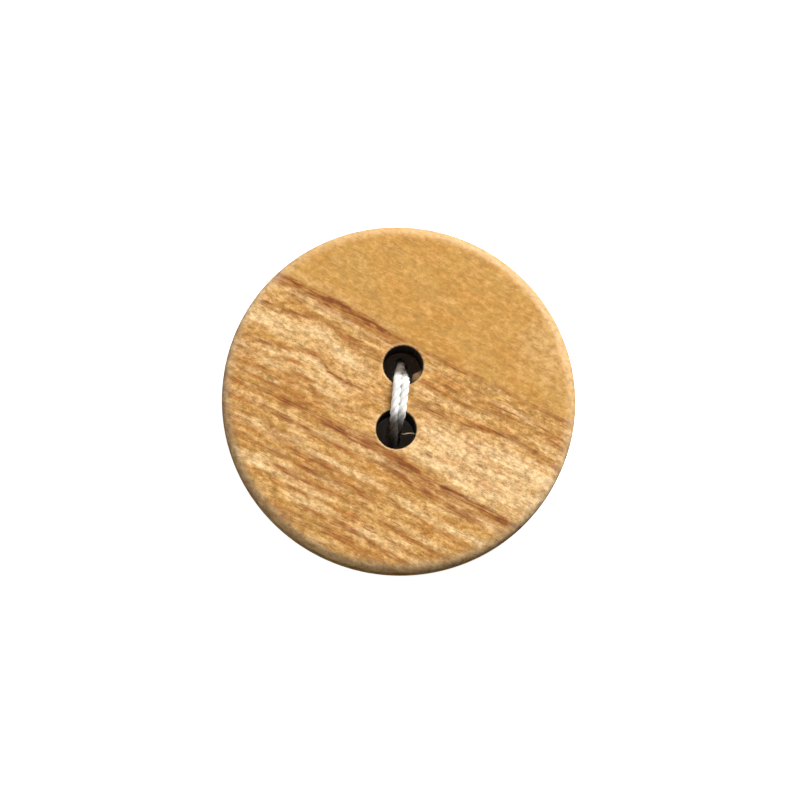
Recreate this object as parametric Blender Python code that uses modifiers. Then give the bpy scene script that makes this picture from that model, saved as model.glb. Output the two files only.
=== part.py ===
"""A flat wooden button with two holes, and the doubled thread that is tied through them.

Metres, +Z up. The button lies on its back. The origin is the middle of its back plane, the two
holes lie along Y, and the thread's bridge crosses the face from one hole to the other. The tie
is the thread with its knot and cut ends: it slides up through the holes until the knot meets
the ceiling of the hollow in the back.
"""

import math

import bmesh
import bpy
import numpy as np

# Driving dimensions of the button.
DISC_DIAMETER = 0.0250
DISC_THICKNESS = 0.0044
FACE_ROUNDING = 0.0007  # radius of the edge between the face and the side
SIDE_HEIGHT = 0.0007  # straight part of the side; below it the side curves in to the back rim
HOLE_DIAMETER = 0.0028
HOLE_SPACING = 0.00465  # from centre to centre
HOLE_EASING = 0.00014  # width of the small chamfer at each mouth of a hole
WELL_DIAMETER = 0.0160  # mouth of the turned hollow in the back
WELL_DEPTH = 0.0020
WELL_CORNER = 0.0012  # radius between the hollow's ceiling and its wall

# Driving dimensions of the tie.
THREAD_DIAMETER = 0.00057
STRAND_SPLIT = 0.00006  # free space between the two strands, side by side
LEG_SLANT = 30.0  # degrees that a leg leans outwards on its way down through its hole
BACK_BEND = 0.0008  # radius of the turn from a leg to the back run, at the thread's middle
KNOT_LENGTH = 0.00200  # along Y, the way the thread runs
KNOT_WIDTH = 0.00230
KNOT_HEIGHT = 0.00113
TAIL_LENGTHS = (0.0036, 0.0029, 0.0026, 0.0033)
TAIL_SPLAY = math.radians(27.0)  # how far a cut end turns from X towards Y
TAIL_BEND = 0.00045  # how far a cut end's tip curls sideways

# Pieces that touch on the real button stand this far apart.
CLEARANCE = 0.00006

# How finely round shapes are divided.
DISC_STEPS = 96
HOLE_STEPS = 40
ARC_STEPS = 8
TAIL_STEPS = 9
THREAD_SIDES = 2  # bevel resolution: eight sides

# Values that follow from those above.
DISC_RADIUS = DISC_DIAMETER / 2
BACK_ROUNDING = DISC_THICKNESS - FACE_ROUNDING - SIDE_HEIGHT  # radius of that curve
HOLE_RADIUS = HOLE_DIAMETER / 2
WELL_RADIUS = WELL_DIAMETER / 2
THREAD_RADIUS = THREAD_DIAMETER / 2
HALF_WEB = HOLE_SPACING / 2 - HOLE_RADIUS  # half of the wood left between the holes
STRAND_OFFSET = (THREAD_DIAMETER + STRAND_SPLIT) / 2
KNOT_Z = CLEARANCE + KNOT_HEIGHT / 2
TIE_TRAVEL = WELL_DEPTH - KNOT_HEIGHT - 2 * CLEARANCE


def new_collection(name):
    """A collection of this name, linked to the scene."""
    collection = bpy.data.collections.new(name)
    bpy.context.scene.collection.children.link(collection)
    return collection


def clear_scene():
    for obj in list(bpy.data.objects):
        bpy.data.objects.remove(obj, do_unlink=True)


def new_material(name, colour, roughness):
    """A Principled BSDF with one colour and one roughness."""
    material = bpy.data.materials.new(name)
    material.use_nodes = True
    shader = material.node_tree.nodes["Principled BSDF"]
    shader.inputs["Base Color"].default_value = (*colour, 1.0)
    shader.inputs["Roughness"].default_value = roughness
    shader.inputs["Metallic"].default_value = 0.0
    return material


def arc(centre_r, centre_z, radius, start_deg, end_deg):
    """Points of an arc in the (radius, height) plane, from one angle to another."""
    angles = np.radians(np.linspace(start_deg, end_deg, ARC_STEPS + 1))
    return [
        (centre_r + radius * math.cos(a), centre_z + radius * math.sin(a))
        for a in angles
    ]


def turned(name, profile, steps, collection, material):
    """A profile of (radius, height) points, given from the top of its outer side down, turned about Z."""
    mesh = bpy.data.meshes.new(name)
    points = [(r, 0.0, z) for r, z in profile]
    mesh.from_pydata(points, [(i, i + 1) for i in range(len(points) - 1)], [])
    obj = bpy.data.objects.new(name, mesh)
    collection.objects.link(obj)
    screw = obj.modifiers.new("Turn", "SCREW")
    screw.axis = "Z"
    screw.steps = steps
    screw.render_steps = steps
    screw.use_merge_vertices = True
    screw.merge_threshold = 1e-6
    screw.use_smooth_shade = True
    if material:
        mesh.materials.append(material)
    return obj


def disc_profile():
    """Face, rounded edge, side, curve to the back rim, and the hollow up to its ceiling."""
    top = DISC_THICKNESS
    inner_ring = HOLE_SPACING / 2 + HOLE_RADIUS + 4 * HOLE_EASING
    points = [(0.0, top), (inner_ring, top)]
    points += arc(DISC_RADIUS - FACE_ROUNDING, top - FACE_ROUNDING, FACE_ROUNDING, 90, 0)
    points += arc(DISC_RADIUS - BACK_ROUNDING, BACK_ROUNDING, BACK_ROUNDING, 0, -90)
    points += [(WELL_RADIUS, 0.0)]
    corner = min(WELL_CORNER, WELL_DEPTH * 0.9)
    points += arc(WELL_RADIUS - corner, WELL_DEPTH - corner, corner, 0, 90)
    points += [(inner_ring, WELL_DEPTH), (0.0, WELL_DEPTH)]
    return points


def drill(name, y, collection):
    """A cutter with the shape of one hole: a round bore that flares at both mouths."""
    over = CLEARANCE * 5  # how far the cutter runs past the wood
    flare = HOLE_RADIUS + HOLE_EASING
    top, low = DISC_THICKNESS, WELL_DEPTH
    profile = [
        (0.0, top + over),
        (flare + over, top + over),
        (HOLE_RADIUS, top - HOLE_EASING),
        (HOLE_RADIUS, low + HOLE_EASING),
        (flare + over, low - over),
        (0.0, low - over),
    ]
    cutter = turned(name, profile, HOLE_STEPS, collection, None)
    cutter.location.y = y
    cutter.hide_render = True
    cutter.display_type = "WIRE"
    return cutter


def make_disc(parts, cutters, material):
    """The turned disc with its two drilled holes."""
    disc = turned("button_disc", disc_profile(), DISC_STEPS, parts, material)
    for label, side in (("upper", 1), ("lower", -1)):
        hole = disc.modifiers.new(f"Drill {label} hole", "BOOLEAN")
        hole.operation = "DIFFERENCE"
        hole.solver = "EXACT"
        hole.object = drill(f"{label}_hole_drill", side * HOLE_SPACING / 2, cutters)
    return disc


def half_loop():
    """(y, z) from the middle of the bridge round a hole's edge, down the leg and in to the knot.

    The thread is taut, so it is straight runs joined by arcs. The first arc hugs the hole's eased
    edge. The second one turns the leg in to the knot.
    """
    slant = math.radians(LEG_SLANT)
    edge_y = HALF_WEB - HOLE_EASING
    edge_z = DISC_THICKNESS - HOLE_EASING
    hug = THREAD_RADIUS + CLEARANCE + HOLE_EASING
    over = arc(edge_y, edge_z, hug, 90, LEG_SLANT)
    leg_y, leg_z = over[-1]
    turn_z = KNOT_Z + BACK_BEND * (1 + math.sin(slant))
    turn_y = leg_y + (leg_z - turn_z) * math.tan(slant)
    bend_y = turn_y - BACK_BEND * math.cos(slant)
    under = arc(bend_y, KNOT_Z + BACK_BEND, BACK_BEND, LEG_SLANT, -90)
    knot_y = KNOT_LENGTH / 2 + CLEARANCE
    return np.array([(0.0, edge_z + hug), *over, *under, (knot_y, KNOT_Z)])


def loop_points():
    """(y, z) along the loop, from the knot through the upper hole, over the face and back."""
    half = half_loop()
    return np.concatenate([half[::-1], half[1:] * (-1, 1)])


def thread(name, points, collection, material, parent):
    """A round thread along (x, y, z) points, cut square at both ends."""
    curve = bpy.data.curves.new(name, "CURVE")
    curve.dimensions = "3D"
    curve.bevel_depth = THREAD_RADIUS
    curve.bevel_resolution = THREAD_SIDES
    curve.use_fill_caps = True
    spline = curve.splines.new("POLY")
    spline.points.add(len(points) - 1)
    spline.points.foreach_set("co", np.insert(points, 3, 1.0, axis=1).ravel())
    spline.use_smooth = True
    curve.materials.append(material)
    obj = bpy.data.objects.new(name, curve)
    collection.objects.link(obj)
    obj.parent = parent
    return obj


def make_strands(parts, material, parent):
    """Two strands side by side, each from the knot round through both holes to the knot."""
    yz = loop_points()
    for label, side in (("left", -1), ("right", 1)):
        x = np.full(len(yz), side * STRAND_OFFSET)
        points = np.column_stack([x, yz])
        thread(f"thread_strand_{label}", points, parts, material, parent)


def make_knot(parts, material, parent):
    """The knot as one rounded lump, under the wood between the holes."""
    mesh = bpy.data.meshes.new("thread_knot")
    shape = bmesh.new()
    bmesh.ops.create_uvsphere(shape, u_segments=24, v_segments=14, radius=0.5)
    size = (KNOT_WIDTH, KNOT_LENGTH, KNOT_HEIGHT)
    bmesh.ops.scale(shape, vec=size, verts=shape.verts)
    bmesh.ops.translate(shape, vec=(0.0, 0.0, KNOT_Z), verts=shape.verts)
    shape.to_mesh(mesh)
    shape.free()
    mesh.shade_smooth()
    mesh.materials.append(material)
    knot = bpy.data.objects.new("thread_knot", mesh)
    parts.objects.link(knot)
    knot.parent = parent


def tail_points(across, along, length):
    """A cut end from the knot's skin: it leaves at the splay angle, curls aside and sinks."""
    d = np.array([across * math.cos(TAIL_SPLAY), along * math.sin(TAIL_SPLAY)])
    skin = math.hypot(KNOT_WIDTH / 2 * d[0], KNOT_LENGTH / 2 * d[1])
    share = np.linspace(0.0, 1.0, TAIL_STEPS + 1)
    sideways = np.array([-d[1], d[0]]) * across * along
    xy = np.outer(skin + CLEARANCE + length * share, d)
    xy += np.outer(TAIL_BEND * share**2, sideways)
    lowest = THREAD_RADIUS + CLEARANCE
    z = KNOT_Z + (lowest - KNOT_Z) * np.sin(share * math.pi / 2)
    return np.column_stack([xy, z])


def make_tails(parts, material, parent):
    """The four cut ends that come out of the knot, two to each side."""
    sides = ((-1, 1), (1, 1), (-1, -1), (1, -1))
    for number, ((across, along), length) in enumerate(zip(sides, TAIL_LENGTHS), 1):
        points = tail_points(across, along, length)
        thread(f"thread_tail_{number}", points, parts, material, parent)


def main():
    clear_scene()
    parts = new_collection("sew_on_button")
    cutters = new_collection("cutters")
    wood = new_material("turned wood", (0.58, 0.33, 0.13), 0.55)
    cotton = new_material("white sewing thread", (0.86, 0.85, 0.82), 0.75)
    make_disc(parts, cutters, wood)
    slide = bpy.data.objects.new("tie_slide", None)
    slide.empty_display_size = TIE_TRAVEL
    parts.objects.link(slide)
    make_strands(parts, cotton, slide)
    make_knot(parts, cotton, slide)
    make_tails(parts, cotton, slide)


main()
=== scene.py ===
# %% [markdown]
# # A wooden sew-on button and its thread
#
# This file dresses a measured model of a two-hole wooden button. The model comes from the frame:
# one solid for each piece, in metres, with Z pointing out of the button's face. Each cell below makes
# one piece or one finish, and says why it is made that way.

# %% Load the frame
import math

import bmesh
import bpy
import numpy as np
from mathutils import Matrix, Vector


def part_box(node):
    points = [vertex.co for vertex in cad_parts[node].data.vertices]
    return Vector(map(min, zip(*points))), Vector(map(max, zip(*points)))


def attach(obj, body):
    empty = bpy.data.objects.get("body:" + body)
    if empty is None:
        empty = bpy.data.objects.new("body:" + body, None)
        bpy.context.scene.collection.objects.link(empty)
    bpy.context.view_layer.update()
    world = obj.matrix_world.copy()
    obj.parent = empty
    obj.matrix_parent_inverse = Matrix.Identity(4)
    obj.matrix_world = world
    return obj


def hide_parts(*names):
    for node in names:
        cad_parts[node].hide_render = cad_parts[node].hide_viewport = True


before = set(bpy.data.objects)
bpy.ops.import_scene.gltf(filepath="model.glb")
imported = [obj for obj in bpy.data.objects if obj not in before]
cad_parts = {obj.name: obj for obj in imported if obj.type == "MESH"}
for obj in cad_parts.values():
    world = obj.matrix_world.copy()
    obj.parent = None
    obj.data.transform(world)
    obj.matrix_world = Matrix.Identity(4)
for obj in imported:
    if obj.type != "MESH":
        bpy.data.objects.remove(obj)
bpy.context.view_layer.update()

MM = 0.001

# %% [markdown]
# ## Sizes
#
# Most sizes are read from the frame's boxes, so the looks follow the model. A box can't tell how wide
# a drilled hole is, or how far an edge is rounded, so those few are named here.

# %% Sizes of the button and the thread
disc_low, disc_high = (np.array(corner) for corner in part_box("button_disc"))
strand_low, strand_high = (np.array(corner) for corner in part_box("thread_strand_right"))
knot_low, knot_high = (np.array(corner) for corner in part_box("thread_knot"))

RADIUS = float(disc_high[0] - disc_low[0]) / 2
TOP = float(disc_high[2])
FACE_ROUNDING = 0.7 * MM
SIDE_HEIGHT = 0.7 * MM
BACK_ROUNDING = TOP - FACE_ROUNDING - SIDE_HEIGHT
HOLE_RADIUS = 1.4 * MM
HOLE_Y = 2.325 * MM
HOLE_EASING = 0.14 * MM
WELL_RADIUS = 8.0 * MM
WELL_DEPTH = 2.0 * MM
WELL_CORNER = 1.2 * MM
THREAD_RADIUS = float(strand_high[0] - strand_low[0]) / 2
EDGE_WIDTH = 1.35 * FACE_ROUNDING  # sandpaper rounds the edge further in than it rounds it down
EDGE_HEIGHT = 1.05 * FACE_ROUNDING
EDGE_POWER = 2.4  # 2 would be an ellipse; more is squarer
print(f"disc {2000 * RADIUS:.1f} mm wide, {1000 * TOP:.1f} mm thick")
print(f"thread {2000 * THREAD_RADIUS:.2f} mm thick")

# %% [markdown]
# ## The camera
#
# The button is seen nearly straight on, from a little below and to the left of its axis, so a sliver of
# its side shows along that edge and the round outline is a little flattened. A long lens keeps the
# perspective gentle. The camera is turned so that the line of holes leans a little to the right.

# %% Camera
VIEW_TILT = math.radians(13.0)  # between the line of sight and the button's axis
VIEW_SIDE = math.radians(261.0)  # which way the camera stands off the axis, round from +X
VIEW_ROLL = math.radians(6.1)  # how far the line of holes leans in the picture
VIEW_DISTANCE = 0.36
VIEW_WIDTH = 56.4 * MM  # width of what the camera sees at the button
AIM_RIGHT = 0.02 * MM  # how far right of the face's middle, and below it, the camera looks
AIM_DOWN = 0.21 * MM


def aim_camera():
    """Looks close to the middle of the face, along the tilted line of sight, with the roll about it."""
    sight = Vector(
        (
            math.sin(VIEW_TILT) * math.cos(VIEW_SIDE),
            math.sin(VIEW_TILT) * math.sin(VIEW_SIDE),
            math.cos(VIEW_TILT),
        )
    )
    up = Vector((-math.sin(VIEW_ROLL), math.cos(VIEW_ROLL), 0.0))
    right = up.cross(sight).normalized()
    up = sight.cross(right)
    target = Vector((0.0, 0.0, TOP)) + right * AIM_RIGHT - up * AIM_DOWN
    data = bpy.data.cameras.new("camera")
    data.lens = data.sensor_width * VIEW_DISTANCE / VIEW_WIDTH
    data.clip_start, data.clip_end = 0.01, 10.0
    camera = bpy.data.objects.new("camera", data)
    bpy.context.scene.collection.objects.link(camera)
    turn = Matrix((right, up, sight)).transposed()
    camera.matrix_world = Matrix.Translation(target + sight * VIEW_DISTANCE) @ turn.to_4x4()
    bpy.context.scene.camera = camera


aim_camera()
bpy.context.scene.view_settings.view_transform = "Standard"
print(f"camera lens {bpy.context.scene.camera.data.lens:.0f} mm")

# %% [markdown]
# ## Shader maths as plain expressions
#
# A node tree is easier to read as a formula. `Field` wraps one socket: `+ - * / **` on it add Math
# nodes, also with a number on the left, and `add` puts in any other node. Its settings come first,
# because some sockets exist only after a setting is made.


# %% The Field class
class Field:
    """One socket of a node tree, with arithmetic."""

    def __init__(self, socket):
        self.socket = socket

    def add(self, kind, settings=None, sockets=None, out=0):
        """A new node of this kind: its settings, then its sockets' values or links."""
        tree = self.socket.id_data
        node = tree.nodes.new(kind)
        for name, value in (settings or {}).items():
            if name == "points":
                curve = node.mapping.curves[0]
                while len(curve.points) < len(value):
                    curve.points.new(0.5, 0.5)
                for point, place in zip(curve.points, value):
                    point.location = place
                node.mapping.update()
            else:
                setattr(node, name, value)
        for key, value in (sockets or {}).items():
            if isinstance(value, Field):
                tree.links.new(value.socket, node.inputs[key])
            else:
                node.inputs[key].default_value = value
        return Field(node.outputs[out])

    def maths(self, operation, first, second=0.0):
        """A Math node; an operation on one value leaves the second unused."""
        return self.add("ShaderNodeMath", {"operation": operation}, {0: first, 1: second})

    def __add__(self, other):
        return self.maths("ADD", self, other)

    __radd__ = __add__

    def __sub__(self, other):
        return self.maths("SUBTRACT", self, other)

    def __rsub__(self, other):
        return self.maths("SUBTRACT", other, self)

    def __mul__(self, other):
        return self.maths("MULTIPLY", self, other)

    __rmul__ = __mul__

    def __truediv__(self, other):
        return self.maths("DIVIDE", self, other)

    def __pow__(self, other):
        return self.maths("POWER", self, other)

    def exp(self):
        """e to the power of this."""
        return self.maths("EXPONENT", self)

    def lowest(self, other):
        """The smaller of the two."""
        return self.maths("MINIMUM", self, other)

    def highest(self, other):
        """The larger of the two."""
        return self.maths("MAXIMUM", self, other)

    def step(self, start, end):
        """0 before start, 1 after end, and a smooth rise between them; start may be the larger."""
        low, high = min(start, end), max(start, end)
        rise = self.add(
            "ShaderNodeMapRange",
            {"interpolation_type": "SMOOTHSTEP"},
            {"Value": self, "From Min": low, "From Max": high},
        )
        return rise if end > start else 1 - rise

    def times(self, x, y, z):
        """A vector with each part scaled."""
        return self.add("ShaderNodeVectorMath", {"operation": "MULTIPLY"}, {0: self, 1: (x, y, z)})

    def noise(self, detail=2.0, roughness=0.5):
        """Soft noise about 0, within about half a unit either way, read at this vector."""
        return (
            self.add(
                "ShaderNodeTexNoise",
                {"noise_dimensions": "3D"},
                {"Vector": self, "Scale": 1.0, "Detail": detail, "Roughness": roughness},
            )
            - 0.5
        )

    def scaled(self, amount):
        """A colour or vector with every part multiplied by the same amount."""
        return self.add("ShaderNodeVectorMath", {"operation": "SCALE"}, {0: self, "Scale": amount})

    def between(self, first, second):
        """The first colour where this is 0, the second where it is 1, and a mix of them between."""
        return self.add(
            "ShaderNodeMix",
            {"data_type": "RGBA", "clamp_factor": True},
            {0: self, 6: first, 7: second},
            out=2,
        )


def linear(red, green, blue):
    """A colour as seen on a screen, from 0 to 255, in the linear values that shaders take."""
    screen = np.array([red, green, blue]) / 255.0
    value = np.where(screen <= 0.04045, screen / 12.92, ((screen + 0.055) / 1.055) ** 2.4)
    return (*(float(x) for x in value), 1.0)


def new_material(name):
    """A material with nothing set, and the Object coordinates in its tree."""
    material = bpy.data.materials.new(name)
    material.use_nodes = True
    place = material.node_tree.nodes.new("ShaderNodeTexCoord")
    return material, Field(place.outputs["Object"])


def finish_shader(material, fixed, varying):
    """Numbers set on the Principled shader's sockets, and the links of what varies."""
    shader = material.node_tree.nodes["Principled BSDF"]
    for name, value in fixed.items():
        shader.inputs[name].default_value = value
    for name, field in varying.items():
        material.node_tree.links.new(field.socket, shader.inputs[name])
    print(material.name, "has", len(material.node_tree.nodes), "nodes")
    return material


# %% [markdown]
# ## The stage
#
# A white sweep: a flat table that rises into a dome all round, so that there is no horizon from any
# side. It glows a little, as a light table does, which keeps the shadow faint. Under the button it
# doesn't glow, so the holes stay dark. The sweep is left out of what lights the button, because light
# thrown back from a white table would wash out the shaded edge that shows how the rim is rounded. The
# room's light comes from all round, but hardly from straight above, so little of it reaches down into
# the holes.

# %% Sweep and room
SWEEP_FLAT = 0.75
SWEEP_GLOW = 0.82
SWEEP_STEPS = 96
SWEEP_BELOW = 0.02 * MM  # keeps the table and the back rim out of one plane
GLOW_START = 0.74 * RADIUS  # the table starts to glow here, and glows in full from GLOW_END
GLOW_END = 0.93 * RADIUS
ROOM_LIGHT = 0.50
ROOM_FAINT = 0.06  # what is left of it straight above and below
ROOM_LOW = (-0.05, 0.15)  # the light comes up between these heights, as sines
ROOM_HIGH = (0.92, 0.72)  # and has faded at the first of these, towards straight above


def turned_points(profile, steps):
    """A profile of (radius, height) carried round Z: rows down the profile, columns round it."""
    angle = np.linspace(0.0, 2 * math.pi, steps + 1)[:-1]
    radius, height = profile[:, :1], profile[:, 1:]
    return np.stack([radius * np.cos(angle), radius * np.sin(angle), height + 0 * angle], axis=-1)


def grid_faces(rows, columns):
    """The corners of each face between neighbouring rows; the last column joins the first."""
    i = np.arange(rows - 1)[:, None]
    j = np.arange(columns)[None, :]
    k = (j + 1) % columns
    corners = [i * columns + j, i * columns + k, (i + 1) * columns + k, (i + 1) * columns + j]
    return np.stack(corners, axis=-1).reshape(-1, 4)


def sweep():
    """The table and dome as one turned surface under and round the button."""
    rise = np.linspace(0.0, math.pi / 2, 25)
    flat = np.stack([np.linspace(1e-4, SWEEP_FLAT, 12), np.zeros(12)], axis=1)
    dome = np.stack([SWEEP_FLAT * np.cos(rise) + 1e-4, SWEEP_FLAT * np.sin(rise)], axis=1)
    points = turned_points(np.concatenate([flat, dome[1:]]), SWEEP_STEPS)
    mesh = bpy.data.meshes.new("sweep")
    mesh.from_pydata(points.reshape(-1, 3).tolist(), [], grid_faces(*points.shape[:2]).tolist())
    mesh.shade_smooth()
    obj = bpy.data.objects.new("sweep", mesh)
    bpy.context.scene.collection.objects.link(obj)
    material, place = new_material("white sweep")
    centre = place.add("ShaderNodeVectorMath", {"operation": "LENGTH"}, {0: place}, out=1)
    lit = centre.step(GLOW_START, GLOW_END)
    glow = lit.between((0.0, 0.0, 0.0, 1.0), (SWEEP_GLOW, SWEEP_GLOW, SWEEP_GLOW, 1.0))
    fixed = {"Base Color": (0.92, 0.92, 0.92, 1.0), "Roughness": 0.9, "Emission Strength": 1.0}
    mesh.materials.append(finish_shader(material, fixed, {"Emission Color": glow}))
    obj.location.z = float(disc_low[2]) - SWEEP_BELOW
    obj.visible_diffuse = False
    obj.visible_glossy = False


def room(strength):
    """Soft light from all round that is faint from below and from straight above."""
    world = bpy.data.worlds.new("room")
    world.use_nodes = True
    tree = world.node_tree
    way = Field(tree.nodes.new("ShaderNodeTexCoord").outputs["Generated"])
    up = way.add("ShaderNodeSeparateXYZ", None, {0: way}, out=2)
    light = (up.step(*ROOM_LOW) * up.step(*ROOM_HIGH) + ROOM_FAINT) * strength
    tree.links.new(light.socket, tree.nodes["Background"].inputs["Strength"])
    tree.nodes["Background"].inputs["Color"].default_value = (1.0, 1.0, 1.0, 1.0)
    bpy.context.scene.world = world


sweep()
room(ROOM_LIGHT)

# %% [markdown]
# ## Lamps
#
# A square key lamp stands to the upper right. A much weaker fill to the left lightens its shadows.


# %% Lamps
def lamp(name, picture_deg, height_deg, distance, size, power):
    """A square lamp aimed at the button. picture_deg is its bearing round the picture from the right."""
    bearing = math.radians(picture_deg) + VIEW_ROLL
    height = math.radians(height_deg)
    way = Vector(
        (
            math.cos(height) * math.cos(bearing),
            math.cos(height) * math.sin(bearing),
            math.sin(height),
        )
    )
    data = bpy.data.lights.new(name, "AREA")
    data.size = size
    data.energy = power
    obj = bpy.data.objects.new(name, data)
    obj.matrix_world = (
        Matrix.Translation(way * distance) @ way.to_track_quat("Z", "Y").to_matrix().to_4x4()
    )
    bpy.context.scene.collection.objects.link(obj)


lamp("key", picture_deg=57, height_deg=36, distance=0.5, size=0.3, power=4.1)
lamp("fill", picture_deg=170, height_deg=30, distance=0.5, size=0.25, power=0.35)

# %% [markdown]
# ## Olive wood
#
# The wood is one solid block that was cut across, so its pattern is a function of the place in the
# block, not of the surface: the same rings that cross the face run down the side and through the holes.
# Three parts make it. Growth rings are a list of lines across the grain, each with its own strength
# and reach, bent together by smooth curves along the grain. Fine fibres and pores are noise that is
# stretched far along the grain. Mottling is noise that is stretched only a little.

# %% Growth rings
GRAIN_ANGLE = math.radians(-20.0)  # of the fibres, round from +X

# Each ring: place across the grain, half width, strength, and where it starts and ends along it (mm).
DARK_RINGS = [
    (3.74, 0.40, 0.85, -14.0, -0.6),
    (3.72, 0.21, 0.55, -0.5, 14.0),
    (4.02, 0.15, 0.30, -14.0, -3.0),
    (2.95, 0.14, 0.40, -10.0, -1.0),
    (2.80, 0.18, 0.35, 1.0, 14.0),
    (1.82, 0.26, 0.60, -12.0, -1.0),
    (2.20, 0.14, 0.35, -8.0, -1.5),
    (1.55, 0.17, 0.55, 0.8, 14.0),
    (2.10, 0.12, 0.40, 2.0, 13.0),
    (0.18, 0.20, 0.85, 1.0, 14.0),
    (-0.12, 0.12, 0.30, 0.0, 4.0),
    (-0.78, 0.14, 0.62, -13.0, -1.0),
    (-1.75, 0.15, 0.42, -13.0, -7.0),
    (-2.60, 0.17, 0.35, -13.0, -2.0),
    (-3.55, 0.15, 0.35, -9.0, 3.0),
    (-3.95, 0.24, 0.95, -7.5, 14.0),
    (-4.02, 0.21, 0.50, -13.0, -6.5),
    (-4.35, 0.14, 0.55, -2.0, 5.5),
    (-5.05, 0.21, 0.60, -12.0, 9.0),
    (-5.95, 0.15, 0.40, -12.0, -5.0),
    (-6.85, 0.14, 0.42, -5.0, 10.0),
    (-7.50, 0.22, 0.62, -10.0, 1.5),
    (-8.35, 0.20, 0.50, -6.0, 9.0),
    (-9.25, 0.15, 0.35, -7.0, 7.0),
    (-10.15, 0.20, 0.75, -3.0, 6.0),
    (-11.0, 0.30, 0.45, -9.0, 9.0),
    (3.95, 0.10, 0.60, -12.0, -2.0),
    (-2.95, 0.60, 0.20, -12.0, -6.5),
    (-3.30, 0.12, 0.40, -11.0, -5.0),
    (-4.60, 0.45, 0.30, 1.0, 12.0),
    (2.30, 0.40, 0.16, 2.0, 13.0),
    (-6.60, 0.35, 0.28, -11.0, -2.0),
]
PALE_BANDS = [
    (4.45, 0.30, 0.25, -14.0, -2.0),
    (3.25, 0.25, 0.35, -14.0, -5.0),
    (0.75, 0.55, 0.75, -14.0, -2.5),
    (0.95, 0.30, 0.40, 0.0, 6.0),
    (-1.20, 0.80, 0.95, 2.0, 14.0),
    (-2.70, 0.70, 0.80, 1.0, 14.0),
    (-1.25, 0.25, 0.45, -13.0, -3.0),
    (-2.15, 0.25, 0.40, -12.0, 0.0),
    (-4.70, 0.18, 0.40, -12.0, 12.0),
    (-6.35, 0.30, 0.45, -10.0, 10.0),
    (-8.85, 0.28, 0.55, -9.0, -1.0),
    (-7.85, 0.22, 0.35, -2.0, 8.0),
    (-9.70, 0.25, 0.30, -4.0, 7.0),
    (8.00, 2.60, 0.32, 6.0, 14.0),
    (-0.60, 1.10, 0.26, -8.0, -2.0),
]
# How the rings bend, as (along the grain, lift) in mm, in the upper, middle and lower part.
UPPER_BEND = [(-12.5, 0.20), (-5.0, 0.05), (-2.5, -0.22), (0.5, -0.05), (5.0, 0.0), (12.5, -0.10)]
MIDDLE_BEND = [
    (-12.5, -0.15), (-9.5, 0.15), (-6.75, 0.85), (-5.0, 0.10), (-2.0, 0.05),
    (1.5, 0.05), (4.5, 0.02), (6.0, 0.35), (8.7, 0.70), (10.7, 0.45), (12.5, 0.05),
]
LOWER_BEND = [(-12.5, -0.15), (-6.0, 0.05), (-3.7, -0.12), (0.7, 0.08), (4.5, -0.35), (12.5, -0.80)]
REACH = 12.5  # half of what a bend curve covers, mm
LIFT = 2.0  # the most that a bend curve can lift a ring, mm
FADE_IN = 0.8  # half of the stretch over which a ring fades in, mm
FADE_OUT = 1.0


def bent(along, bend):
    """A smooth curve through the bend's points, read at the place along the grain."""
    points = [(0.5 + a / (2 * REACH), 0.5 + lift / (2 * LIFT)) for a, lift in bend]
    share = along / (2 * REACH) + 0.5
    curve = along.add("ShaderNodeFloatCurve", {"points": points}, {"Value": share})
    return (curve - 0.5) * (2 * LIFT)


def ring_sum(along, across, rings):
    """The sum of bell curves across the grain, each faded in and out along it."""
    total = None
    for place, width, strength, start, end in rings:
        bell = (((across - place) / width) ** 2.0 * -1.0).exp() * strength
        if start > -REACH:
            bell = bell * along.step(start - FADE_IN, start + FADE_IN)
        if end < REACH:
            bell = bell * along.step(end + FADE_OUT, end - FADE_OUT)
        total = bell if total is None else total + bell
    return total


# %% Wood material
TAN = linear(189, 142, 68)
PALE = linear(230, 194, 142)
BROWN = linear(118, 60, 4)
RUST = linear(174, 100, 24)
GOLD = linear(190, 132, 50)
TORN = linear(112, 90, 68)
WORN_AND_HIGHLIGHT = linear(232, 206, 166)
# painted shade: the near-black colour of the holes' walls
PAINTED_HOLE_SHADE = linear(16, 9, 5)
BURR_AT = math.radians(-30)  # a lump of torn wood that the drill left in the upper hole
BURR_SIZE = 0.48 * MM
BURR_DEPTH = 0.42 * MM  # how far below the face its middle is
BURR_HEIGHT = 0.6 * BURR_DEPTH
BURR_SPREAD = 0.42  # how wide it is round the hole, in radians
BURR_PLACE = (
    (HOLE_RADIUS - BURR_SIZE / 3) * math.cos(BURR_AT),
    HOLE_Y + (HOLE_RADIUS - BURR_SIZE / 3) * math.sin(BURR_AT),
)
LUMP_EDGE = 0.66  # mm from the lump's middle: its paler colour begins here
LUMP_FULL = 0.05  # and is full here
RING_LEAN = 0.3  # how far the rings shift across the grain for each step down into the wood


def distance_from(place, x, y):
    """Distance from an upright line through (x, y), in mm."""
    flat = place.add("ShaderNodeVectorMath", {"operation": "SUBTRACT"}, {0: place, 1: (x, y, 0.0)})
    flat = flat.times(1 / MM, 1 / MM, 0.0)
    return flat.add("ShaderNodeVectorMath", {"operation": "LENGTH"}, {0: flat}, out=1)


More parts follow.
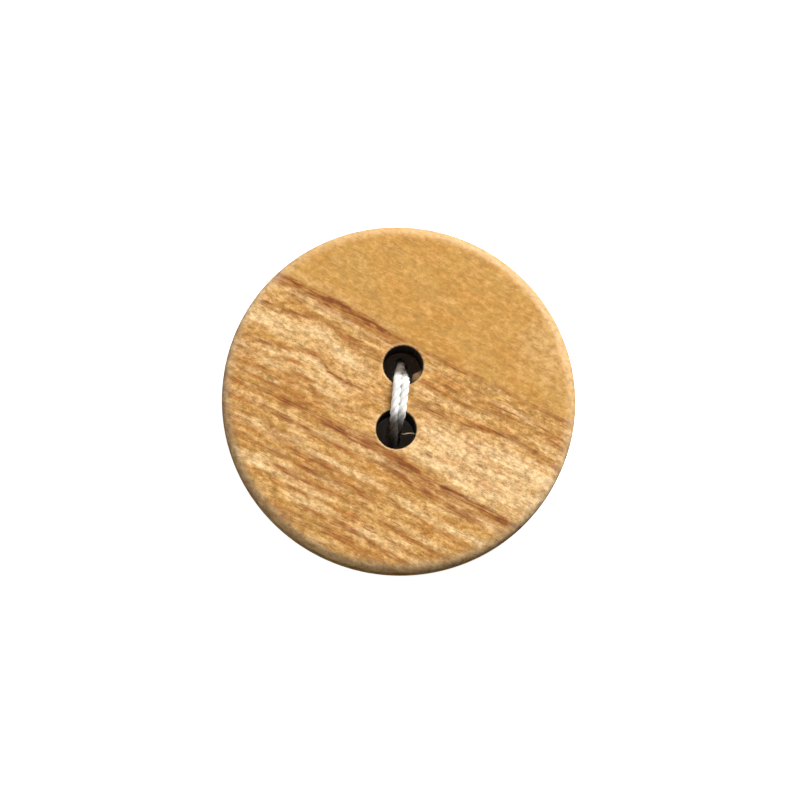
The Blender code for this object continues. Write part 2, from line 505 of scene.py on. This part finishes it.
def olive_wood():
    """Turned, sanded olive wood with a dry satin surface."""
    material, place = new_material("olive wood")
    grain = place.add(
        "ShaderNodeMapping",
        {"vector_type": "POINT"},
        {"Vector": place, "Rotation": (0.0, 0.0, -GRAIN_ANGLE), "Scale": (1 / MM,) * 3},
    )
    along, straight, height = (
        grain.add("ShaderNodeSeparateXYZ", None, {0: grain}, out=k) for k in range(3)
    )
    lean = (height - TOP / MM) * RING_LEAN
    sway = grain.times(0.11, 0.30, 0.25).noise() * 0.55
    ragged = grain.times(0.9, 2.4, 2.0).noise(3.0, 0.6) * 0.34
    ruffle = grain.times(4.0, 6.5, 5.0).noise(3.0, 0.7) * 0.34

    upper = straight.step(2.0, 3.2)
    lower = straight.step(-1.6, -3.2)
    bend = bent(along, MIDDLE_BEND) * (1 - upper) * (1 - lower)
    bend = bend + bent(along, UPPER_BEND) * upper + bent(along, LOWER_BEND) * lower
    across = straight - bend + lean + sway * 0.5 + ragged + ruffle

    dark = ring_sum(along, across, DARK_RINGS)
    pale = ring_sum(along, across, PALE_BANDS)
    streaky = across.step(4.3, 3.3)

    # Fine lines: long fibres, strongest among the rings, and short dashes where pores are cut open.
    lines = grain.times(0.34, 2.7, 1.5).noise(3.0, 0.66)
    threads = grain.times(0.75, 8.0, 4.0).noise(2.0, 0.65)
    dashes = grain.times(1.7, 11.0, 6.0).noise(1.0, 0.5)
    pores = dashes.step(0.11, 0.22) * (0.30 + 0.70 * streaky)
    mottle = grain.times(1.9, 3.0, 2.8).noise(4.0, 0.8)
    blotch = grain.times(1.1, 1.5, 1.4).noise(2.0, 0.6)
    clouds = grain.times(0.28, 0.5, 0.4).noise(2.0, 0.5)
    breaks = grain.times(1.0, 1.5, 1.5).noise(2.0, 0.6).step(-0.20, 0.14)

    # Rings are broken up along their length, and the fibres show through them.
    flecks = 0.85 + 3.4 * threads + 2.4 * mottle + 0.8 * blotch
    depth = dark * (0.34 + 0.66 * breaks) * flecks.highest(0.0)
    fibres = (lines * 1.9).highest(0.0) * (0.10 + 1.15 * streaky)
    shine = (lines * -1.9).highest(0.0) * (0.08 + 1.1 * streaky)

    colour = (0.35 + clouds * 2.0 + blotch * 1.8).between(TAN, GOLD)
    light = pale * 0.66 + shine * 1.1 + mottle * (0.8 + 0.5 * streaky) + blotch * 0.6 + streaky * 0.10
    colour = light.highest(0.0).between(colour, PALE)
    colour = (fibres * 1.1 + depth * 1.0 - mottle * 0.9).highest(0.0).between(colour, RUST)
    colour = (depth * 0.95 + pores * 0.25).highest(0.0).lowest(0.95).between(colour, BROWN)
    colour = colour.scaled(1 + mottle * (1.2 + 1.0 * streaky))

    # The edge of the face is painted paler all round, partly as sanding wear and partly as a painted
    # highlight on the rounded rim.
    edge = distance_from(place, 0.0, 0.0).step((RADIUS - EDGE_WIDTH) / MM, RADIUS / MM)
    edge = edge * height.step((TOP - 1.2 * EDGE_HEIGHT) / MM, (TOP - 0.6 * EDGE_HEIGHT) / MM)
    colour = (edge * (0.36 + mottle)).highest(0.0).between(colour, WORN_AND_HIGHLIGHT)

    # The drill leaves rough walls. They are painted near black, as painted shade for the dark inside of
    # the holes, and the eased mouths are painted paler, as a painted highlight. One torn lump is paler.
    nearest = distance_from(place, 0.0, HOLE_Y).lowest(distance_from(place, 0.0, -HOLE_Y))
    bore = HOLE_RADIUS / MM
    inside = nearest.step(bore + 0.09, bore - 0.01)
    lump = distance_from(place, *BURR_PLACE).step(LUMP_EDGE, LUMP_FULL)
    wall = inside * (1 - lump)
    # Painted highlight: the eased mouths of the holes are painted paler.
    mouth = nearest.step(bore - 0.02, bore + 0.05) * nearest.step(bore + 0.30, bore + 0.12)
    colour = (mouth * (0.30 + 1.8 * mottle)).highest(0.0).between(colour, PALE)
    colour = (inside * 0.8).between(colour, TORN)
    # Painted shade: the walls inside the holes are painted near black.
    colour = (wall * 0.97).between(colour, PAINTED_HOLE_SHADE)

    rough = (0.50 + 0.16 * mottle + 0.14 * depth + 0.25 * wall).lowest(0.95)
    relief = mottle * 0.5 + threads * 0.5 - pores * 1.1 - depth * 0.35
    normal = place.add(
        "ShaderNodeBump", None, {"Strength": 0.55, "Distance": 0.03 * MM, "Height": relief}
    )
    fixed = {"Specular IOR Level": 0.38, "IOR": 1.45}
    return finish_shader(
        material, fixed, {"Base Color": colour, "Roughness": rough, "Normal": normal}
    )


wood = olive_wood()

# %% [markdown]
# ## Surfaces from numpy
#
# A piece is a grid of points: one parameter runs down the rows, the other across the columns. Every grid
# here goes all the way round, so its last column is joined to its first. The helpers below put such
# grids together, and turn every closed piece so that its faces point outwards.


# %% Mesh helpers
def joined(grids):
    """Points and faces of several grids, one after another."""
    points, faces, count = [], [], 0
    for grid in grids:
        points.append(grid.reshape(-1, 3))
        faces.append(grid_faces(*grid.shape[:2]) + count)
        count += grid.shape[0] * grid.shape[1]
    return np.concatenate(points), np.concatenate(faces)


def new_piece(name, points, faces, material, body):
    """A smooth mesh object at the origin, with its material and body."""
    mesh = bpy.data.meshes.new(name)
    mesh.from_pydata(points.tolist(), [], faces.tolist())
    mesh.materials.append(material)
    mesh.shade_smooth()
    obj = bpy.data.objects.new(name, mesh)
    bpy.context.scene.collection.objects.link(obj)
    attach(obj, body)
    return obj


def weld(obj, within):
    """Makes points that share a place one, and turns the faces of closed surfaces outwards."""
    shape = bmesh.new()
    shape.from_mesh(obj.data)
    bmesh.ops.remove_doubles(shape, verts=shape.verts, dist=within)
    bmesh.ops.recalc_face_normals(shape, faces=shape.faces)
    open_edges = sum(not edge.is_manifold for edge in shape.edges)
    shape.to_mesh(obj.data)
    shape.free()
    print(f"{obj.name}: {len(obj.data.polygons)} faces, {open_edges} open edges")


def waves(angle, count, seed, roughness=1.0):
    """A smooth random function round a circle: a sum of sines whose strength falls with their pitch."""
    draw = np.random.default_rng(seed)
    pitch = np.arange(1, count + 1)
    size = draw.normal(size=count) / pitch**roughness
    phase = draw.uniform(0, 2 * math.pi, count)
    wave = np.sin(np.multiply.outer(angle, pitch) + phase) @ size
    return wave / np.sqrt((size**2).sum() / 2)


# %% [markdown]
# ## The disc
#
# The face is flat, but two holes go through it, so it can't be one simple grid. It is split along the
# line midway between the holes. Each half holds one hole, and every point of a half lies on a straight
# ray from the hole's mouth to the half's outline. The hollow's ceiling is made the same way. The rest
# is turned: one profile carried round the axis. The mouths of the holes wander by a few hundredths of a
# millimetre, with one small chip each, as a drill leaves them. In the upper hole a lump of torn wood
# stands out of the wall.

# %% Disc surfaces
TURN_STEPS = 384
LINE_STEPS = 128
FACE_STEPS = 22
CEILING_STEPS = 8
MOUTH_RINGS = 6
WALL_RINGS = 18
EDGE_STEPS = 18
SIDE_STEPS = 30
CORNER_STEPS = 10
MOUTH_WANDER = 0.018 * MM
MOUTH_FALL = 1.25 * HOLE_EASING  # how far the mouth's rounding reaches down
WALL_ROUGHNESS = 0.008 * MM

# The chip at the mouth of the upper (1) and lower (-1) hole: its bearing, its depth, its half width.
CHIPS = {
    1: (math.radians(28), 0.06 * MM, 0.25),
    -1: (math.radians(-62), 0.05 * MM, 0.20),
}


def half_outline(radius, side):
    """Points round one half of a circle's area: its arc, then the straight line back."""
    angle = np.linspace(0.0, math.pi, TURN_STEPS // 2 + 1)
    arc = np.stack([radius * np.cos(angle), side * radius * np.sin(angle)], axis=1)
    line = np.linspace(-radius, radius, LINE_STEPS + 1)[1:-1]
    return np.concatenate([arc, np.stack([line, np.zeros_like(line)], axis=1)])


def rays(radius, side):
    """Angle of each ray from the hole's axis to the half's outline, and the ray's length."""
    way = half_outline(radius, side) - np.array([0.0, side * HOLE_Y])
    return np.arctan2(way[:, 1], way[:, 0]), np.linalg.norm(way, axis=1)


def angle_between(angle, start):
    """How far the angle is round from the start, from -pi to pi."""
    return np.angle(np.exp(1j * (angle - start)))


def mouth_radius(angle, side):
    """Radius of a hole's mouth: the bore and its easing, a slight wander, and one chip."""
    chip_at, chip_size, chip_width = CHIPS[side]
    off = angle_between(angle, chip_at)
    wander = MOUTH_WANDER * waves(angle, 14, 5 + side, 0.6)
    return HOLE_RADIUS + HOLE_EASING + wander + chip_size * np.exp(-((off / chip_width) ** 2))


def half_face(radius, side, height, steps, mouth):
    """Rows from the hole's mouth out to the outline, closer together near the hole."""
    angle, length = rays(radius, side)
    start = mouth(angle, side)
    share = np.linspace(0.0, 1.0, steps + 1)[:, None] ** 1.8
    reach = start + (length - start) * share
    x = reach * np.cos(angle)
    y = side * HOLE_Y + reach * np.sin(angle)
    return np.stack([x, y, np.full_like(x, height)], axis=-1)


def plain_mouth(angle, side):
    """Radius of the mouth in the hollow's ceiling: the bore and its easing, the same for each side."""
    return np.full_like(angle, HOLE_RADIUS + HOLE_EASING)


def hole_wall(side):
    """Rows down one hole: a rounded mouth, the bore with its torn lump, a plain eased mouth below."""
    upper = rays(RADIUS - EDGE_WIDTH, side)[0]
    lower = rays(WELL_RADIUS - WELL_CORNER, side)[0]
    lower = upper + angle_between(lower, upper)
    turn = np.linspace(0.0, math.pi / 2, MOUTH_RINGS + 1)
    mouth = mouth_radius(upper, side)
    rows = [
        (
            HOLE_RADIUS + (mouth - HOLE_RADIUS) * (1 - math.sin(t)),
            TOP - MOUTH_FALL * (1 - math.cos(t)),
        )
        for t in turn
    ]
    floor = WELL_DEPTH + HOLE_EASING
    drop = np.linspace(TOP - MOUTH_FALL, floor, WALL_RINGS + 1)[1:]
    rough = WALL_ROUGHNESS * waves(upper, 40, 9 + side, 0.2)
    burr = BURR_SIZE * np.exp(-((angle_between(upper, BURR_AT) / BURR_SPREAD) ** 2))
    burr = burr * (side > 0)
    rows += [
        (
            HOLE_RADIUS
            + rough * math.sin(math.pi * (k + 1) / (WALL_RINGS + 1))
            - burr * math.exp(-(((TOP - z - BURR_DEPTH) / BURR_HEIGHT) ** 2)),
            z,
        )
        for k, z in enumerate(drop)
    ]
    rows += [(HOLE_RADIUS + HOLE_EASING, WELL_DEPTH)]
    share = np.linspace(0.0, 1.0, len(rows))
    grid = []
    for (radius, z), s in zip(rows, share):
        angle = upper + (lower - upper) * s
        ring = [radius * np.cos(angle), side * HOLE_Y + radius * np.sin(angle)]
        grid.append(np.stack([*ring, np.full_like(angle, z)], axis=-1))
    return np.stack(grid)


def arc_points(centre, height, radius, start_deg, end_deg, steps):
    """Points of an arc in the plane of radius and height."""
    angle = np.radians(np.linspace(start_deg, end_deg, steps + 1))
    return np.stack([centre + radius * np.cos(angle), height + radius * np.sin(angle)], axis=1)


def sanded_edge(steps):
    """Quarter of a superellipse, wider than it is high: ((x/a)^n + (z/b)^n = 1), n = EDGE_POWER."""
    turn = np.radians(np.linspace(90, 0, steps + 1))
    out, up = np.cos(turn), np.sin(turn)
    power = 2 / EDGE_POWER
    return np.stack(
        [RADIUS - EDGE_WIDTH * (1 - out**power), TOP - EDGE_HEIGHT * (1 - up**power)], axis=1
    )


def turned_side():
    """From the face's edge down the side, across the back rim and up to the hollow's ceiling."""
    side = np.linspace(TOP - EDGE_HEIGHT, BACK_ROUNDING, 5)[1:-1]
    rim = np.linspace(RADIUS - BACK_ROUNDING, WELL_RADIUS, 6)[1:]
    profile = np.concatenate(
        [
            sanded_edge(EDGE_STEPS),
            np.stack([np.full_like(side, RADIUS), side], axis=1),
            arc_points(
                RADIUS - BACK_ROUNDING, BACK_ROUNDING, BACK_ROUNDING, 0, -90, SIDE_STEPS
            ),
            np.stack([rim, np.zeros_like(rim)], axis=1),
            arc_points(
                WELL_RADIUS - WELL_CORNER,
                WELL_DEPTH - WELL_CORNER,
                WELL_CORNER,
                0,
                90,
                CORNER_STEPS,
            ),
        ]
    )
    return turned_points(profile, TURN_STEPS)


def make_disc():
    """The whole disc as one closed surface."""
    grids = [turned_side()]
    for side in (1, -1):
        ceiling = WELL_RADIUS - WELL_CORNER
        grids += [
            half_face(RADIUS - EDGE_WIDTH, side, TOP, FACE_STEPS, mouth_radius),
            hole_wall(side),
            half_face(ceiling, side, WELL_DEPTH, CEILING_STEPS, plain_mouth),
        ]
    points, faces = joined(grids)
    disc = new_piece("turned_disc", points, faces, wood, "button")
    weld(disc, 1e-7)
    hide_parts("button_disc")


make_disc()

# %% [markdown]
# ## Thread
#
# Sewing thread is three thin yarns twisted round each other. At this size the twist is real relief, so
# each yarn is its own tube that winds round the strand's middle line. Three round tubes that only touch
# inside a circle have 0.464 of its radius. Yarns are soft and press into each other, so theirs is more.
# The fibres inside a yarn are too fine for geometry: they are streaks in the material, along its UV
# map. The same material is painted dark on the legs inside the holes, as painted shade.

# %% Thread material
COTTON = linear(246, 245, 242)
COTTON_SHADE = linear(214, 210, 202)
PAINTED_LEG_SHADE = linear(78, 60, 42)  # painted shade on the thread's legs inside the holes
LEG_SHADE_START = 1.15  # distance from the middle of the bridge, mm
LEG_SHADE_END = 1.95


def sewing_thread():
    """Bleached, lightly lustrous thread: fibre streaks along each yarn, painted shade on its legs in the
    holes.
    """
    material, place = new_material("white sewing thread")
    uv = place.add("ShaderNodeUVMap", {"uv_map": "yarn"})
    streaks = uv.times(2.2, 9.0, 1.0).noise(3.0, 0.6)
    fine = uv.times(7.0, 26.0, 1.0).noise(2.0, 0.6)
    colour = (0.3 + streaks * 1.6 + fine * 0.8).highest(0.0).between(COTTON, COTTON_SHADE)
    out, height = (
        place.add("ShaderNodeSeparateXYZ", None, {0: place}, out=k) * (1 / MM) for k in (1, 2)
    )
    # Painted shade: the legs are darkened inside the holes, where little light reaches.
    painted_leg_shade = out.add("ShaderNodeMath", {"operation": "ABSOLUTE"}, {0: out}).step(LEG_SHADE_START, LEG_SHADE_END)
    painted_leg_shade = painted_leg_shade * height.step(WELL_DEPTH / MM - 0.5, WELL_DEPTH / MM + 0.4)
    colour = (painted_leg_shade * 0.95).between(colour, PAINTED_LEG_SHADE)
    relief = streaks + fine * 0.6
    normal = place.add(
        "ShaderNodeBump", None, {"Strength": 0.5, "Distance": 0.012 * MM, "Height": relief}
    )
    rough = 0.62 + streaks * 0.3
    fixed = {"Sheen Weight": 0.25, "Sheen Roughness": 0.5, "Specular IOR Level": 0.4}
    return finish_shader(
        material, fixed, {"Base Color": colour, "Roughness": rough, "Normal": normal}
    )


cotton = sewing_thread()

# %% Tubes along a path
YARN_SHARE = 0.57  # radius of a yarn, as a share of the strand's
TWIST_PITCH = 1.9 * MM
YARN_SIDES = 12
TIP_WELD = 1e-8  # the shrunk end rings of a tube become single points


def lengths_along(path):
    """Distance from the start of the path to each of its points."""
    step = np.linalg.norm(np.diff(path, axis=0), axis=1)
    return np.concatenate([[0.0], np.cumsum(step)])


def unit(vectors):
    """Each vector divided by its own length."""
    return vectors / np.linalg.norm(vectors, axis=-1, keepdims=True)


def directions(path, closed=False):
    """Unit vectors along a path."""
    if closed:
        return unit(np.roll(path, -1, axis=0) - np.roll(path, 1, axis=0))
    return unit(np.gradient(path, axis=0))


def square_to(reference, along):
    """The part of the reference that stands square to the path, as a unit vector, and its partner."""
    first = unit(reference - (reference * along).sum(-1, keepdims=True) * along)
    return first, np.cross(along, first)


def tube(path, radius, reference, sides=YARN_SIDES, closed=False):
    """A ring of points round each point of the path: centre + radius (cos a first + sin a second)."""
    first, second = square_to(reference, directions(path, closed))
    angle = np.linspace(0.0, 2 * math.pi, sides + 1)[:-1]
    radius = np.broadcast_to(radius, len(path))[:, None, None]
    ring = first[:, None] * np.cos(angle)[:, None] + second[:, None] * np.sin(angle)[:, None]
    return path[:, None] + radius * ring


def yarns(path, reference, radius, pitch, closed=False, spread=1.0, phase=0.0):
    """Three tubes wound round a path. Each is (middle line, radius, outward reference)."""
    first, second = square_to(reference, directions(path, closed))
    turn = 2 * math.pi * lengths_along(path) / pitch
    yarn_radius = radius * YARN_SHARE
    offset = (radius - yarn_radius) * np.broadcast_to(spread, len(path))[:, None]
    found = []
    for k in range(3):
        angle = (turn + phase + 2 * math.pi * k / 3)[:, None]
        outward = first * np.cos(angle) + second * np.sin(angle)
        found.append((path + offset * outward, yarn_radius, outward))
    return found


def capped(rings):
    """The same rings with a ring shrunk to a point at each end, so that the tube is closed."""
    start = np.repeat(rings[0].mean(axis=0)[None], rings.shape[1], axis=0)
    end = np.repeat(rings[-1].mean(axis=0)[None], rings.shape[1], axis=0)
    return np.concatenate([start[None], rings, end[None]])


def lay_uv(obj, grids):
    """A UV map named yarn: along the grid's rows in mm, and once round its columns."""
    values = []
    for grid in grids:
        rows, columns = grid.shape[:2]
        along = lengths_along(grid.mean(axis=1)) / MM
        i = np.repeat(np.arange(rows - 1), columns)
        j = np.tile(np.arange(columns), rows - 1)
        u = np.stack([along[i], along[i], along[i + 1], along[i + 1]], axis=1)
        v = np.stack([j, j + 1, j + 1, j], axis=1) / columns
        values.append(np.stack([u, v], axis=-1).reshape(-1, 2))
    layer = obj.data.uv_layers.new(name="yarn")
    layer.data.foreach_set("uv", np.concatenate(values).astype(np.float32).ravel())


def yarn_piece(name, grids, node):
    """One object made of closed tubes, standing for one CAD node, or for none."""
    points, faces = joined(grids)
    obj = new_piece(name, points, faces, cotton, "tie")
    lay_uv(obj, grids)
    weld(obj, TIP_WELD)
    if node:
        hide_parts(node)


# %% [markdown]
# ## The loop of thread
#
# Each strand runs from the knot through one hole, over the wood between the holes, and back through the
# other hole. A taut thread is straight runs joined by arcs: flat over the wood, round the hole's eased
# edge, down and outwards through the hole, and round a second bend back in to the knot. Inside the
# holes the pair turns, so that one strand lies over the other and the two look narrower together.

# %% Strands
GAP = 0.06 * MM  # between the thread and what it touches
LEG_SLANT = 30.0  # degrees that a leg leans outwards on its way down
BACK_BEND = 0.8 * MM
KNOT_MIDDLE = float(knot_low[2] + knot_high[2]) / 2
INTO_KNOT = 0.35 * MM  # how far a strand runs on inside the knot
LOOP_ROWS = 420
BEND_STEPS = 24
REST_RADIUS = 1.08 * THREAD_RADIUS  # a resting thread is a little fuller than a stretched one
STRAND_X = 0.97 * THREAD_RADIUS  # the strands press against each other
PAIR_TURN = math.radians(72)  # how far the pair turns in a hole
TURN_TOP = TOP + 0.30 * MM  # the turn grows from here to half way down, and is undone by TURN_LOW
TURN_LOW = 1.0 * MM


def strand_path(x, slack):
    """The loop's middle line at x: mirrored halves of straight runs and arcs, in equal stretches.

    The slack adds a sideways wave. The pair's turn moves each strand by x (cos a - 1) sideways, and
    the left one outwards along Y as well.
    """
    slant = math.radians(LEG_SLANT)
    edge_y = HOLE_Y - HOLE_RADIUS - HOLE_EASING
    edge_z = TOP - HOLE_EASING
    hug = THREAD_RADIUS + GAP + HOLE_EASING
    over = arc_points(edge_y, edge_z, hug, 90, LEG_SLANT, BEND_STEPS)
    turn_z = KNOT_MIDDLE + BACK_BEND * (1 + math.sin(slant))
    turn_y = over[-1, 0] + (over[-1, 1] - turn_z) * math.tan(slant)
    bend_y = turn_y - BACK_BEND * math.cos(slant)
    bend_z = KNOT_MIDDLE + BACK_BEND
    under = arc_points(bend_y, bend_z, BACK_BEND, LEG_SLANT, -90, BEND_STEPS)
    end = [(float(knot_high[1]) - INTO_KNOT, KNOT_MIDDLE)]
    half = np.concatenate([[(0.0, edge_z + hug)], over, under, end])
    loop = np.concatenate([half[::-1], half[1:] * [-1, 1]])
    along = lengths_along(loop)
    at = np.linspace(0.0, along[-1], LOOP_ROWS)
    y, z = (np.interp(at, along, column) for column in loop.T)
    print(f"strand {1000 * along[-1]:.1f} mm long")
    turn = PAIR_TURN * np.sin(math.pi * np.clip((TURN_TOP - z) / (TURN_TOP - TURN_LOW), 0, 1))
    y = y + np.sign(y) * (abs(x) - x) * np.sin(turn)
    sideways = x * np.cos(turn) + slack * np.sin(4 * math.pi * at / along[-1])
    return np.stack([sideways, y, z], axis=1)


def make_strand(label, side, slack, phase):
    """One strand of three yarns; gives back its middle line, for the loose fibres."""
    path = strand_path(side * STRAND_X, slack)
    reference = np.tile([1.0, 0.0, 0.0], (len(path), 1))
    wound = yarns(path, reference, REST_RADIUS, TWIST_PITCH, phase=phase)
    grids = [capped(tube(line, radius, out)) for line, radius, out in wound]
    yarn_piece(f"strand_{label}", grids, f"thread_strand_{label}")
    return path


LEFT_PATH = make_strand("left", -1, 0.015 * MM, 0.4)
RIGHT_PATH = make_strand("right", 1, -0.01 * MM, 1.9)

# %% [markdown]
# ## The knot
#
# Pulled tight, the doubled thread becomes a small lump of crossing turns. A trefoil, the closed form of
# the overhand knot, has just that look: a line that goes twice round a ring while it winds three times
# through it. Two thin strands lie side by side along it, and it is pressed flat to its CAD box.

# %% Knot
KNOT_ROWS = 420
KNOT_STRAND = 0.5  # radius of the strand, and of its winding, as shares of half the knot's height
KNOT_WIND = 0.42
KNOT_LIFT = 1.15  # the winding is a little higher than it is wide
KNOT_FULLER = 1.02  # its yarns press against each other


def make_knot():
    """A trefoil on a ring: radius R + r cos 3t, angle 2t, height r sin 3t, scaled to the knot's box."""
    centre = (knot_low + knot_high) / 2
    half = (knot_high - knot_low) / 2
    turn = np.linspace(0.0, 2 * math.pi, KNOT_ROWS + 1)[:-1]
    thick = KNOT_STRAND * half[2]
    wind = KNOT_WIND * half[2]
    ring = half[0] - thick - wind
    reach = ring + wind * np.cos(3 * turn)
    path = np.stack(
        [
            reach * np.cos(2 * turn),
            reach * np.sin(2 * turn) * half[1] / half[0],
            wind * KNOT_LIFT * np.sin(3 * turn),
        ],
        axis=1,
    )
    path = path + centre
    outward = path - centre - np.stack(
        [ring * np.cos(2 * turn), ring * np.sin(2 * turn), 0 * turn], axis=1
    )
    total = lengths_along(np.concatenate([path, path[:1]]))[-1]
    pitch = total / round(total / TWIST_PITCH)
    wound = yarns(path, outward, thick, pitch, closed=True)
    rings = [tube(line, radius * KNOT_FULLER, out, closed=True) for line, radius, out in wound]
    grids = [np.concatenate([grid, grid[:1]]) for grid in rings]
    yarn_piece("knot", grids, "thread_knot")


make_knot()

# %% [markdown]
# ## Cut ends
#
# Four short ends leave the knot, two to each side. Scissors leave the yarns of a cut thread free, so
# over the last part they open out from each other and a few fibres stick out of the tip.

# %% Tails
TAIL_ROWS = 110
TAIL_START = -0.12  # it starts this share of its length before its box, inside the knot
TAIL_BOW = 0.10  # how far it bows sideways, as a share of its length
TAIL_REST = 1.3 * THREAD_RADIUS  # height of its middle line above the bottom of its box, at the tip
TIP_START = 0.8  # share of the length from which the yarns open out
TIP_SPREAD = 0.7


def tail_path(node):
    """A gentle bow from inside the knot to the far corner of the CAD box, sinking to the table."""
    low, high = (np.array(corner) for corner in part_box(node))
    side = np.sign(low + high)[:2]
    near = np.where(side > 0, low[:2], high[:2]) + side * THREAD_RADIUS * 0.75
    far = np.where(side > 0, high[:2], low[:2]) - side * THREAD_RADIUS * 0.6
    share = np.linspace(TAIL_START, 1.0, TAIL_ROWS)
    bow = np.array([-(far - near)[1], (far - near)[0]]) * side[0] * side[1]
    xy = near + np.outer(share, far - near) - np.outer(TAIL_BOW * np.sin(math.pi * share), bow)
    rest = float(low[2]) + TAIL_REST
    z = KNOT_MIDDLE + (rest - KNOT_MIDDLE) * np.sin(np.clip(share, 0, 1) * math.pi / 2)
    return np.column_stack([xy, z])


def make_tail(number):
    """One cut end of three yarns; gives back its middle line, for the loose fibres."""
    node = f"thread_tail_{number}"
    path = tail_path(node)
    reference = np.tile([0.0, 0.0, 1.0], (len(path), 1))
    share = np.linspace(0.0, 1.0, len(path))
    spread = 1.0 + TIP_SPREAD * np.clip((share - TIP_START) / 0.2, 0, 1) ** 2
    wound = yarns(path, reference, REST_RADIUS, TWIST_PITCH, spread=spread, phase=number)
    grids = [capped(tube(line, radius, out)) for line, radius, out in wound]
    yarn_piece(f"tail_{number}", grids, node)
    return path


TAIL_PATHS = [make_tail(number) for number in (1, 2, 3, 4)]

# %% [markdown]
# ## Loose fibres
#
# Thread is never quite clean: short fibres stand off it everywhere. Each is a hair with three sides,
# seven points long, that leaves the strand's skin at a slant and curls. The hairs of one strand or cut
# end are worked out together as one array, and none of them goes below the table.

# %% Fuzz
FUZZ_POINTS = 7
TIP_ROWS = 14  # rows of a tail's path that count as its tip

# How many hairs, their length and radius, and the first seed.
STRAND_FUZZ = (90, 0.42 * MM, 0.005 * MM, 20)
TAIL_FUZZ = (22, 0.40 * MM, 0.005 * MM, 40)
TIP_FUZZ = (9, 0.55 * MM, 0.006 * MM, 60)


def fuzz_grids(path, count, length, radius, seed):
    """Curling hairs from random places on a strand: root + way t + curl t squared."""
    draw = np.random.default_rng(seed)
    ways = directions(path)
    at = draw.integers(4, len(path) - 4, count)
    along = ways[at]
    aside = unit(np.cross(along, draw.normal(size=(count, 3))))
    root = path[at] + aside * REST_RADIUS * 0.85
    way = unit(aside * draw.uniform(0.5, 1.0, (count, 1)) + along * draw.normal(size=(count, 1)))
    curl = unit(np.cross(way, draw.normal(size=(count, 3))))
    size = length * draw.uniform(0.4, 1.3, (count, 1, 1))
    t = np.linspace(0.0, 1.0, FUZZ_POINTS)[None, :, None]
    hair = root[:, None] + size * (way[:, None] * t + curl[:, None] * 0.6 * t**2)
    hair[..., 2] = np.maximum(hair[..., 2], GAP)
    taper = radius * (1.0 - 0.6 * np.linspace(0.0, 1.0, FUZZ_POINTS))
    reference = np.tile([0.31, 0.52, 0.79], (FUZZ_POINTS, 1))
    return [capped(tube(line, taper, reference, sides=3)) for line in hair]


def make_fuzz():
    """All the hairs as one piece: on the strands, along the cut ends, and more at their tips."""
    grids = []
    for k, path in enumerate((LEFT_PATH, RIGHT_PATH)):
        grids += fuzz_grids(path, *STRAND_FUZZ[:3], STRAND_FUZZ[3] + k)
    for k, path in enumerate(TAIL_PATHS):
        grids += fuzz_grids(path, *TAIL_FUZZ[:3], TAIL_FUZZ[3] + k)
        grids += fuzz_grids(path[-TIP_ROWS:], *TIP_FUZZ[:3], TIP_FUZZ[3] + k)
    print(f"{len(grids)} hairs")
    yarn_piece("thread_fuzz", grids, None)


make_fuzz()

# %% [markdown]
# ## A wood fibre in the lower hole
#
# The drill left one pale splinter on the lower hole's wall. It lies across the dark hole, just under
# the face.


# %% Splinter
def make_splinter():
    """A thin tapering sliver from the wall towards the middle: a line with a slight sag and kink."""
    t = np.linspace(0.0, 1.0, 24)
    x = (1.42 - 0.98 * t) * MM
    y = -HOLE_Y + (-0.10 - 0.06 * t + 0.05 * np.sin(5 * t)) * MM
    z = TOP + (-0.55 + 0.22 * t - 0.10 * t**2) * MM
    radius = 0.05 * MM * (1.0 - 0.72 * t)
    path = np.stack([x, y, z], axis=1)
    reference = np.tile([0.0, 0.0, 1.0], (len(path), 1))
    grid = capped(tube(path, radius, reference, sides=7))
    points, faces = joined([grid])
    splinter = new_piece("splinter", points, faces, wood_fibre(), "button")
    weld(splinter, TIP_WELD)


def wood_fibre():
    """Pale raw fibre with faint streaks along X."""
    material, place = new_material("raw wood fibre")
    streak = place.times(900.0, 14000.0, 14000.0).noise(2.0, 0.6)
    colour = (0.35 + streak).highest(0.0).between(linear(232, 206, 168), linear(170, 126, 84))
    return finish_shader(material, {"Roughness": 0.7}, {"Base Color": colour})


make_splinter()
